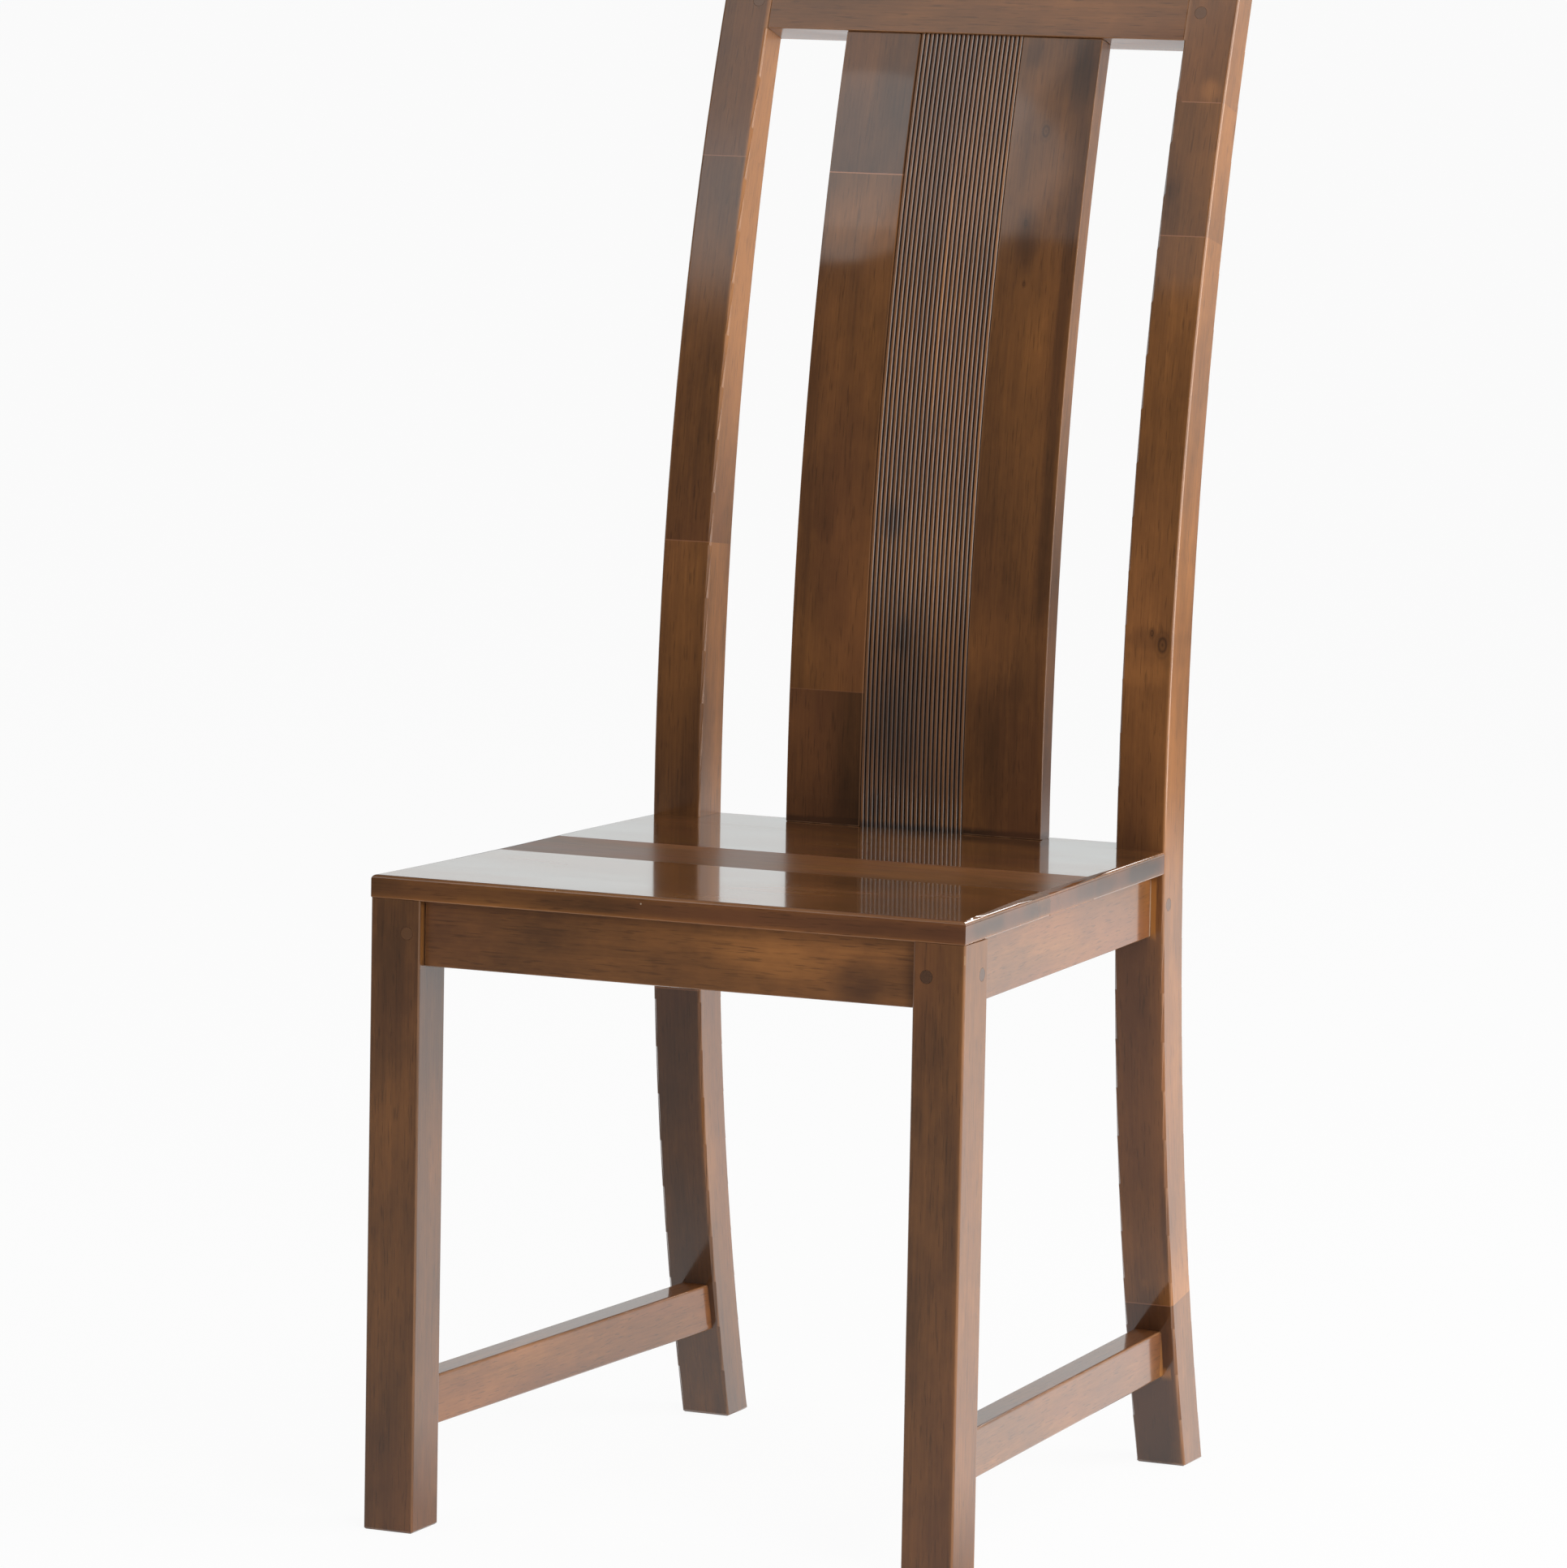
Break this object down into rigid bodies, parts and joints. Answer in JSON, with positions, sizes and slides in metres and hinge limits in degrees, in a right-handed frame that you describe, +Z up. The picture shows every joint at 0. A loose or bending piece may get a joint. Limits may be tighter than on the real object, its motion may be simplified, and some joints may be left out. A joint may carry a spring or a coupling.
{
  "type": "dining chair",
  "caption": "High-back wooden dining chair with curved rear posts, a bowed splat with a reeded middle strip, a plank seat, side stretchers and pegged joints.",
  "frame": {"origin": "floor level, under the middle of the chair's width and of its overall depth", "axes": "+Z up, +X to the right as seen from the front, -Y towards the front of the chair"},
  "size_m": [0.446, 0.5424, 1.075],
  "materials": {
    "frame_wood": "dark walnut stain under gloss lacquer",
    "side_rail_wood": "reddish walnut stain under gloss lacquer",
    "splat_wood": "dark walnut stain under gloss lacquer",
    "reed_wood": "very dark stain under gloss lacquer, open pores",
    "gloss_seat_wood": "polished gloss lacquer",
    "satin_seat_wood": "satin lacquer",
    "peg_end_grain": "dark end grain, lacquered",
    "block_wood": "plain sawn, unfinished",
    "screw_steel": "yellow zinc plated"
  },
  "bodies": {
    "root": {"front_leg_left": "frame_wood", "front_leg_right": "frame_wood", "rear_post_left": "frame_wood", "rear_post_right": "frame_wood", "front_apron": "frame_wood", "rear_apron": "frame_wood", "side_apron_left": "side_rail_wood", "side_apron_right": "side_rail_wood", "side_stretcher_left": "side_rail_wood", "side_stretcher_right": "side_rail_wood", "crest_rail": "frame_wood", "splat_left_board": "splat_wood", "splat_reeded_strip": "reed_wood", "splat_right_board": "splat_wood", "seat_front_board": "gloss_seat_wood", "seat_middle_board": "satin_seat_wood", "seat_rear_board": "gloss_seat_wood", "front_block_left": "block_wood", "front_block_right": "block_wood", "rear_block_left": "block_wood", "rear_block_right": "block_wood", "block_screws": "screw_steel", "seat_screws": "screw_steel", "front_apron_pegs": "peg_end_grain", "front_leg_side_pegs": "peg_end_grain", "rear_post_side_pegs": "peg_end_grain", "crest_pegs": "peg_end_grain"}
  },
  "joints": []
}
